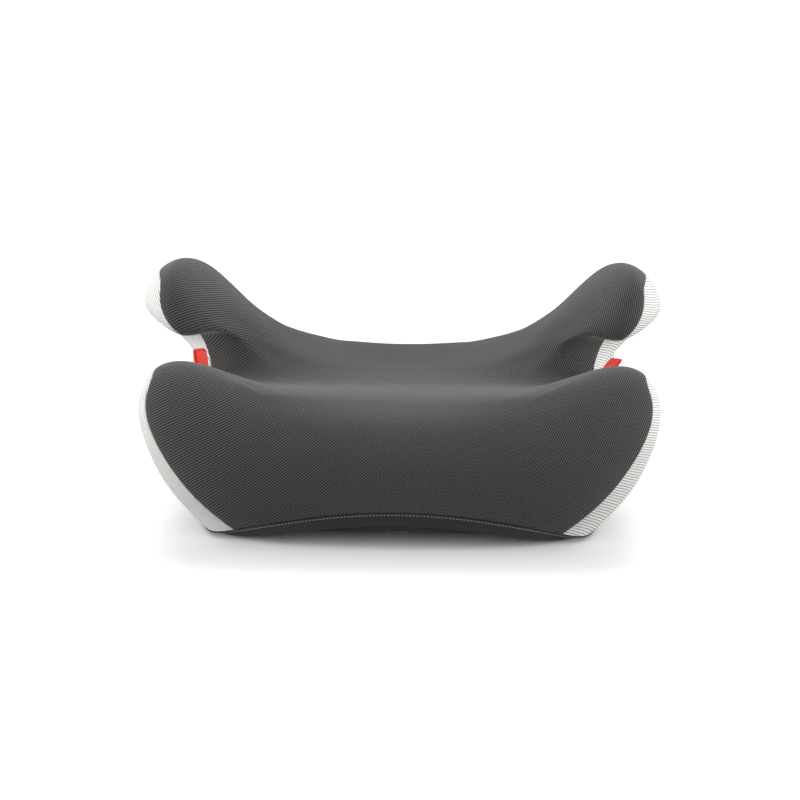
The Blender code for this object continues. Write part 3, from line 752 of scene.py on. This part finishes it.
def build_loop(side, word, material):
    """A folded ribbon, standing on its stitched foot in the belt gap."""
    half_width = LOOP_WIDTH / 2
    corner = LOOP_THICK / 2
    section = []
    for k in range(RIBBON_SIDES):
        angle = 2 * pi * (k + 0.5) / RIBBON_SIDES
        x = (half_width - corner) * (1 if cos(angle) > 0 else -1) + corner * cos(angle)
        section.append((x, corner * sin(angle)))
    bm = bmesh.new()
    uv = bm.loops.layers.uv.new("cloth")
    path = []
    for i in range(RIBBON_STEPS + 1):
        t = i / RIBBON_STEPS
        angle = -pi / 2 + 2 * pi * t
        pinch = LOOP_PINCH + (1 - LOOP_PINCH) * sin(pi * t)
        open_out = abs(cos(angle)) ** 0.6 * (1 if t < 0.5 else -1)
        wide = LOOP_BULGE / 2 * open_out * pinch + (0.5 - t) * LOOP_END_GAP
        high = LOOP_HEIGHT / 2 * (1 + sin(angle)) + LOOP_LIFT
        path.append(Vector((0, wide, high)))
    rings, flat = [], {}
    run = 0.0
    for i, point in enumerate(path):
        tangent = (path[min(i + 1, RIBBON_STEPS)] - path[max(i - 1, 0)]).normalized()
        out = Vector((1, 0, 0)).cross(tangent)
        if i:
            run += (point - path[i - 1]).length
        ring = []
        for x, stand in section:
            vertex = bm.verts.new(point + Vector((x, 0, 0)) + out * stand)
            flat[vertex] = (run, x)
            ring.append(vertex)
        rings.append(ring)
    for ring, after in zip(rings, rings[1:]):
        for j in range(len(ring)):
            k = (j + 1) % len(ring)
            bm.faces.new((ring[j], ring[k], after[k], after[j]))
    bm.faces.new(rings[0][::-1])
    bm.faces.new(rings[-1])
    for face in bm.faces:
        for loop in face.loops:
            loop[uv].uv = flat[loop.vert]
    bmesh.ops.recalc_face_normals(bm, faces=bm.faces)
    lean = LOOP_LEAN[word]
    bm.transform(Matrix.Rotation(-LOOP_TURN * side, 4, "Z"))
    for vertex in bm.verts:
        high = vertex.co.z / LOOP_HEIGHT
        vertex.co.x += side * vertex.co.z * sin(lean) * smoothstep(0, 0.35, high)
        vertex.co.z *= 1 - (1 - cos(lean)) * smoothstep(0, 0.35, high)
    place = Matrix.Translation((LOOP_BASE.x * side, LOOP_BASE.y, LOOP_BASE.z))
    bm.transform(place)
    mesh = mesh_of(bm, "ribbon_loop_" + word)
    node = "belt_loop_" + word
    loop = finish_piece(add_object("ribbon_loop_" + word, mesh), material, node)
    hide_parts(node)
    return loop


# ---- the shell ----

def build_body(form, depth_at, floor):
    """A closed body inside the form. Its lower edge is brought down to floor, or capped where it is."""
    bm = bmesh.new()
    bm.from_mesh(form)
    sink(bm, depth_at)
    edge = [e for e in bm.edges if e.is_boundary]
    if floor is not None:
        made = bmesh.ops.extrude_edge_only(bm, edges=edge)["geom"]
        for vertex in made:
            if isinstance(vertex, bmesh.types.BMVert):
                vertex.co.z = floor
        edge = [e for e in bm.edges if e.is_boundary]
    lowest = [vertex.co for e in edge for vertex in e.verts]
    made = bmesh.ops.extrude_edge_only(bm, edges=edge)["geom"]
    ring = [v for v in made if isinstance(v, bmesh.types.BMVert)]
    middle = Vector((0, 0, sum(co.z for co in lowest) / len(lowest)))
    bmesh.ops.pointmerge(bm, verts=ring, merge_co=middle)
    bmesh.ops.recalc_face_normals(bm, faces=bm.faces)
    for face in bm.faces:
        face.material_index = 0
    return add_object("body", mesh_of(bm, "body"))


def box_mesh(low, high, chamfer=0.0):
    low, high = Vector(low), Vector(high)
    bm = bmesh.new()
    bmesh.ops.create_cube(bm, size=1)
    bmesh.ops.scale(bm, vec=high - low, verts=bm.verts)
    bmesh.ops.translate(bm, vec=(low + high) / 2, verts=bm.verts)
    if chamfer:
        bmesh.ops.bevel(bm, geom=list(bm.edges), offset=chamfer, segments=3, affect="EDGES", profile=0.5)
    return mesh_of(bm, "box")


def cylinder_mesh(radius, low, high, sides):
    bm = bmesh.new()
    bmesh.ops.create_cone(
        bm, cap_ends=True, segments=sides, radius1=radius, radius2=radius, depth=high - low
    )
    bmesh.ops.translate(bm, vec=(0, 0, (low + high) / 2), verts=bm.verts)
    return mesh_of(bm, "cylinder")


def cut(thing, mesh, place=(0, 0, 0)):
    """Cuts the mesh out of the thing and applies the cut."""
    cutter = mesh if isinstance(mesh, bpy.types.Object) else add_object("cutter", mesh)
    if not isinstance(mesh, bpy.types.Object):
        cutter.location = place
    modifier = thing.modifiers.new("cut", "BOOLEAN")
    modifier.operation = "DIFFERENCE"
    modifier.object = cutter
    modifier.solver = "MANIFOLD"
    result = evaluated_mesh(thing)
    thing.modifiers.clear()
    thing.data = result
    bpy.data.objects.remove(cutter)


def screw_places():
    for column, row in SCREW_CELLS:
        yield Vector((column * CELL.x, TRAY_Y + row * CELL.y, 0))


def build_shell(material):
    form = build_form(SHELL_LEVEL, SHELL_RIM)
    shell = build_body(form, shell_depth, None)
    cavity = build_body(form, cavity_depth, BELOW)
    for x in RIB_X:
        low = (x - RIB_WALL / 2, LONG_RIB_Y[0], RIB_BOTTOM)
        cut(cavity, box_mesh(low, (x + RIB_WALL / 2, LONG_RIB_Y[1], ABOVE)))
    for y in RIB_Y:
        low = (CROSS_RIB_X[0], y - RIB_WALL / 2, RIB_BOTTOM)
        cut(cavity, box_mesh(low, (CROSS_RIB_X[1], y + RIB_WALL / 2, ABOVE)))
    for place in screw_places():
        cut(cavity, cylinder_mesh(BOSS_RADIUS, TRAY_HEIGHT + FIT, ABOVE, 40), place)
    cut(shell, cavity)
    for place in screw_places():
        cut(shell, cylinder_mesh(PILOT_RADIUS, 0, TRAY_HEIGHT + PILOT_DEPTH, 24), place)
    low = (-NOTCH_WIDTH / 2, NOTCH_Y[0], BELOW)
    cut(shell, box_mesh(low, (NOTCH_WIDTH / 2, NOTCH_Y[1], NOTCH_TOP), NOTCH_CHAMFER))
    shell.name = "moulded_shell"
    finish_piece(shell, material, "seat")
    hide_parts("seat_shell")
    return shell


# ---- materials ----

class Material:
    """A node material, with short calls for the nodes that it is built from."""

    def __init__(self, name, roughness, metallic=0.0, sheen=0.0, sheen_roughness=0.5, specular=0.5):
        self.material = bpy.data.materials.new(name)
        self.material.use_nodes = True
        self.tree = self.material.node_tree
        self.shader = self.tree.nodes["Principled BSDF"]
        self.shader.inputs["Roughness"].default_value = roughness
        self.shader.inputs["Metallic"].default_value = metallic
        self.shader.inputs["Sheen Weight"].default_value = sheen
        self.shader.inputs["Sheen Roughness"].default_value = sheen_roughness
        self.shader.inputs["Specular IOR Level"].default_value = specular

    def put(self, socket, value):
        if isinstance(value, bpy.types.NodeSocket):
            self.tree.links.new(value, socket)
        else:
            socket.default_value = value

    def math(self, operation, *values):
        node = self.tree.nodes.new("ShaderNodeMath")
        node.operation = operation
        for socket, value in zip(node.inputs, values):
            self.put(socket, value)
        return node.outputs[0]

    def stored(self, name):
        """The pair of values that a mesh stores under this name, as in lay_cloth."""
        place = self.tree.nodes.new("ShaderNodeUVMap")
        place.uv_map = name
        parts = self.tree.nodes.new("ShaderNodeSeparateXYZ")
        self.put(parts.inputs[0], place.outputs[0])
        return parts.outputs[0], parts.outputs[1]

    def position(self):
        return self.tree.nodes.new("ShaderNodeTexCoord").outputs["Object"]

    def vector(self, *values):
        node = self.tree.nodes.new("ShaderNodeCombineXYZ")
        for socket, value in zip(node.inputs, values):
            self.put(socket, value)
        return node.outputs[0]

    def noise(self, place, scale, detail=2.0, roughness=0.5):
        node = self.tree.nodes.new("ShaderNodeTexNoise")
        self.put(node.inputs["Vector"], place)
        node.inputs["Scale"].default_value = scale
        node.inputs["Detail"].default_value = detail
        node.inputs["Roughness"].default_value = roughness
        return node.outputs["Fac"]

    def wave(self, value, pitch, shift=0.0):
        """A wave from 0 to 1 along the value, once per pitch."""
        turns = self.math("MULTIPLY_ADD", value, 2 * pi / pitch, shift)
        return self.math("MULTIPLY_ADD", self.math("SINE", turns), 0.5, 0.5)

    def shaped(self, value, low, high):
        """The value cut off smoothly below low and above high."""
        node = self.tree.nodes.new("ShaderNodeMapRange")
        node.interpolation_type = "SMOOTHSTEP"
        self.put(node.inputs["Value"], value)
        node.inputs["From Min"].default_value = low
        node.inputs["From Max"].default_value = high
        return node.outputs[0]

    def mix(self, factor, first, second):
        node = self.tree.nodes.new("ShaderNodeMix")
        node.data_type = "RGBA"
        self.put(node.inputs["Factor"], factor)
        self.put(node.inputs["A"], first if isinstance(first, bpy.types.NodeSocket) else (*first, 1))
        self.put(node.inputs["B"], second if isinstance(second, bpy.types.NodeSocket) else (*second, 1))
        return node.outputs["Result"]

    def lit(self, colour, factor):
        """The colour made lighter or darker by the factor."""
        node = self.tree.nodes.new("ShaderNodeVectorMath")
        node.operation = "SCALE"
        self.put(node.inputs[0], colour)
        self.put(node.inputs["Scale"], factor)
        return node.outputs[0]

    def finish(self, colour, height, roughness=None):
        """Links the colour, and the height in metres as a bump."""
        self.put(self.shader.inputs["Base Color"], colour)
        if roughness is not None:
            self.put(self.shader.inputs["Roughness"], roughness)
        bump = self.tree.nodes.new("ShaderNodeBump")
        bump.inputs["Distance"].default_value = 1.0
        self.put(bump.inputs["Height"], height)
        self.put(self.shader.inputs["Normal"], bump.outputs[0])
        return self.material


def knit_material(name, ridge, groove, pitch, relief, contrast, uneven):
    """A ribbed knit: ridges of small slanting stitches, with dark grooves between them."""
    made = Material(name, 0.92, sheen=0.15, sheen_roughness=0.4, specular=0.2)
    along, across = made.stored("cloth")
    sway = made.noise(made.vector(along, across, 0.0), 90.0, 2.0)
    wobble = made.math("MULTIPLY_ADD", made.math("SUBTRACT", sway, 0.5), pitch * 0.5, across)
    rib = made.shaped(made.wave(wobble, pitch), *contrast)
    rib = made.math("MULTIPLY_ADD", made.math("SUBTRACT", rib, 0.5), made.stored("ribs")[0], 0.5)
    row = made.math("FLOOR", made.math("DIVIDE", wobble, pitch))
    slant = made.math("MULTIPLY_ADD", across, 0.9, along)
    stitch = made.wave(slant, STITCH_STEP, made.math("MULTIPLY", row, 2.1))
    fibre = made.noise(made.position(), 2600.0, 2.0, 0.7)
    patchy = made.noise(made.position(), 18.0, 3.0)
    face = made.math("MULTIPLY", rib, made.math("MULTIPLY_ADD", stitch, 0.3, 0.7))
    shade = made.math("MULTIPLY_ADD", made.math("SUBTRACT", fibre, 0.5), uneven, 1.0)
    shade = made.math("ADD", shade, made.math("MULTIPLY_ADD", patchy, 0.12, -0.06))
    colour = made.lit(made.mix(face, groove, ridge), shade)
    height = made.math("MULTIPLY", rib, relief)
    height = made.math("MULTIPLY_ADD", made.math("MULTIPLY", stitch, rib), relief * 0.25, height)
    height = made.math("MULTIPLY_ADD", fibre, relief * 0.2, height)
    return made.finish(colour, height)


def elastic_material():
    """Woven elastic: fine crosswise threads over the band's cords."""
    made = Material("black elastic", 0.8, sheen=0.1, specular=0.3)
    along, across = made.stored("cloth")
    thread = made.wave(along, 0.9 * MM)
    fibre = made.noise(made.position(), 2200.0)
    factor = made.math("MULTIPLY", thread, made.math("MULTIPLY_ADD", fibre, 0.6, 0.4))
    height = made.math("MULTIPLY", factor, 0.10 * MM)
    return made.finish(made.mix(factor, (0.008, 0.009, 0.009), (0.021, 0.023, 0.022)), height)


def ribbon_material():
    """Woven polyester ribbon: a fine slanting twill, with a smoother selvedge."""
    made = Material("red ribbon", 0.5, sheen=0.2, specular=0.4)
    along, across = made.stored("cloth")
    twill = made.wave(made.math("MULTIPLY_ADD", across, 1.0, along), 0.75 * MM)
    edge = made.shaped(made.math("ABSOLUTE", across), 0.42 * LOOP_WIDTH, 0.46 * LOOP_WIDTH)
    weave = made.math("MULTIPLY", twill, made.math("SUBTRACT", 1.0, edge))
    fibre = made.noise(made.position(), 2500.0)
    factor = made.math("MULTIPLY_ADD", fibre, 0.5, made.math("MULTIPLY", weave, 0.5))
    height = made.math("MULTIPLY", weave, 0.09 * MM)
    return made.finish(made.mix(factor, (0.80, 0.022, 0.012), (1.0, 0.085, 0.052)), height)


def thread_material():
    made = Material("tan thread", 0.65, sheen=0.2, specular=0.3)
    twist = made.noise(made.position(), 1800.0)
    height = made.math("MULTIPLY", twist, 0.08 * MM)
    return made.finish(made.mix(twist, (0.11, 0.10, 0.08), (0.33, 0.29, 0.22)), height)


def foam_material():
    """Open-cell foam: fine pores."""
    made = Material("white foam", 0.95, specular=0.15)
    cells = made.tree.nodes.new("ShaderNodeTexVoronoi")
    made.put(cells.inputs["Vector"], made.position())
    cells.inputs["Scale"].default_value = 900.0
    pore = made.shaped(cells.outputs["Distance"], 0.1, 0.5)
    colour = made.mix(pore, (0.82, 0.80, 0.72), (0.62, 0.59, 0.50))
    return made.finish(colour, made.math("MULTIPLY", pore, -0.3 * MM))


def plastic_material(name, dark, light, roughness):
    """Moulded plastic with a fine spark texture, and a tone and gloss that vary in broad patches."""
    made = Material(name, roughness, specular=0.5)
    place = made.position()
    grain = made.noise(place, 1400.0, 3.0, 0.6)
    flow = made.noise(place, 9.0, 4.0)
    rough = made.math("MULTIPLY_ADD", flow, 0.16, roughness - 0.08)
    height = made.math("MULTIPLY", grain, 0.05 * MM)
    return made.finish(made.mix(flow, dark, light), height, rough)


def steel_material():
    """Zinc plated steel, with faint turning marks and a slightly yellow cast in places."""
    made = Material("zinc plated steel", 0.35, metallic=1.0)
    place = made.position()
    marks = made.noise(place, 3000.0, 2.0)
    cast = made.noise(place, 60.0, 3.0)
    rough = made.math("MULTIPLY_ADD", marks, 0.25, 0.25)
    height = made.math("MULTIPLY", marks, 0.02 * MM)
    return made.finish(made.mix(cast, (0.52, 0.52, 0.50), (0.66, 0.64, 0.56)), height, rough)


# ---- the stage ----

def build_camera():
    lean, turn, roll = radians(CAMERA_LEAN), radians(CAMERA_TURN), radians(CAMERA_ROLL)
    back = Vector((sin(turn) * cos(lean), -cos(turn) * cos(lean), sin(lean)))
    right = Vector((cos(turn), sin(turn), 0))
    up = back.cross(right)
    rolled_right = right * cos(roll) + up * sin(roll)
    rolled_up = up * cos(roll) - right * sin(roll)
    data = bpy.data.cameras.new("camera")
    data.lens = CAMERA_LENS
    data.sensor_width = CAMERA_SENSOR
    data.clip_end = 100
    camera = add_object("camera", data)
    turned = Matrix((rolled_right, rolled_up, back)).transposed().to_4x4()
    camera.matrix_world = Matrix.Translation(CAMERA_TARGET + back * CAMERA_DISTANCE) @ turned
    bpy.context.scene.camera = camera


def add_light(name, place, target, size, power, colour=(1, 1, 1)):
    data = bpy.data.lights.new(name, "AREA")
    data.shape = "RECTANGLE"
    data.size, data.size_y = size
    data.energy = power
    data.color = colour
    light = add_object(name, data)
    light.location = place
    light.rotation_euler = (Vector(target) - Vector(place)).to_track_quat("-Z", "Y").to_euler()


def build_stage():
    bm = bmesh.new()
    bmesh.ops.create_grid(bm, x_segments=1, y_segments=1, size=FLOOR_SIZE)
    mesh = mesh_of(bm, "floor")
    floor = add_object("floor", mesh)
    # just below the object, so that nothing lies in the floor's own plane
    floor.location.z = -FLOOR_GAP
    made = Material("pale floor", 0.9, specular=0.1)
    tone = made.noise(made.position(), 3.0)
    made.put(made.shader.inputs["Base Color"], made.mix(tone, (0.93, 0.93, 0.93), (0.95, 0.95, 0.95)))
    mesh.materials.append(made.material)
    floor.visible_diffuse = False
    floor.visible_glossy = False
    world = bpy.data.worlds.new("studio")
    bpy.context.scene.world = world
    world.use_nodes = True
    tree = world.node_tree
    direction = tree.nodes.new("ShaderNodeTexCoord")
    parts = tree.nodes.new("ShaderNodeSeparateXYZ")
    tree.links.new(direction.outputs["Generated"], parts.inputs[0])
    ramp = tree.nodes.new("ShaderNodeMapRange")
    ramp.interpolation_type = "SMOOTHSTEP"
    tree.links.new(parts.outputs[2], ramp.inputs["Value"])
    for socket, value in zip(ramp.inputs[1:5], WORLD):
        socket.default_value = value
    tree.links.new(ramp.outputs[0], tree.nodes["Background"].inputs["Strength"])
    tree.nodes["Background"].inputs["Color"].default_value = (1, 1, 1, 1)
    for side, word in SIDES:
        add_light(word + "_softbox", (side * 1.8, -0.45, 0.25), (side * 0.2, 0, 0.1), (1.3, 0.5), SIDE_POWER)
    high = bpy.data.lights.new("high_light", "SUN")
    high.energy = HIGH_POWER
    high.angle = radians(HIGH_SPREAD)
    add_object("high_light", high).rotation_euler = (radians(HIGH_LEAN), 0, 0)
    add_light("front_softbox", (0, -2.1, 0.6), (0, 0, 0.12), (1.8, 0.6), FRONT_POWER)
    bpy.context.scene.view_settings.view_transform = "Standard"


def main():
    form = even_seam(build_form(FORM_LEVEL), SEAM_EVENING)
    knit = knit_material(
        "charcoal knit", *CHARCOAL, KNIT_PITCH, KNIT_RELIEF, contrast=(0.15, 0.75), uneven=0.5
    )
    stripes = knit_material(
        "light grey knit", *LIGHT_GREY, STRIPE_PITCH, STRIPE_RELIEF, contrast=(0.12, 0.55), uneven=0.12
    )
    top = make_panel("cover_top_panel", form, TOP_PATCHES, 0, knit, "charcoal_knit", *TOP_PUFF)
    lay_cloth(top.data, top_plan(top.data), KNIT_ANGLE, KNIT_SWIRLS)
    for side, word in SIDES:
        node = "cover_side_" + word
        panel = make_panel(node, form, SIDE_PATCHES, side, stripes, "light_grey_knit", *SIDE_PUFF)
        plan = side_plan(panel.data)
        plan[:, 0] *= side
        lay_cloth(panel.data, plan, STRIPE_ANGLE, STRIPE_SWIRLS[word])
    foam = foam_material()
    make_pad("seat_foam", form, (SEAT,), 0, foam)
    for side, word in SIDES:
        make_pad("armrest_foam_" + word, form, (ARM,), side, foam)
        make_pad("armrest_side_foam_" + word, form, (ARM_SIDE,), side, foam)
        make_pad("wing_side_foam_" + word, form, (WING_SIDE,), side, foam)

    band = build_band(elastic_material())
    stitches = build_stitches(thread_material())
    ribbon = ribbon_material()
    for side, word in SIDES:
        build_loop(side, word, ribbon)
    build_shell(plastic_material("shell plastic", (0.020, 0.026, 0.034), (0.030, 0.037, 0.046), 0.42))

    tray = plastic_material("tray plastic", (0.022, 0.025, 0.029), (0.034, 0.038, 0.043), 0.5)
    steel = steel_material()
    for node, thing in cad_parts.items():
        if node == "base_tray":
            thing.material_slots[0].material = tray
        elif node.startswith("tray_screw"):
            thing.material_slots[0].material = steel

    build_camera()
    build_stage()


main()
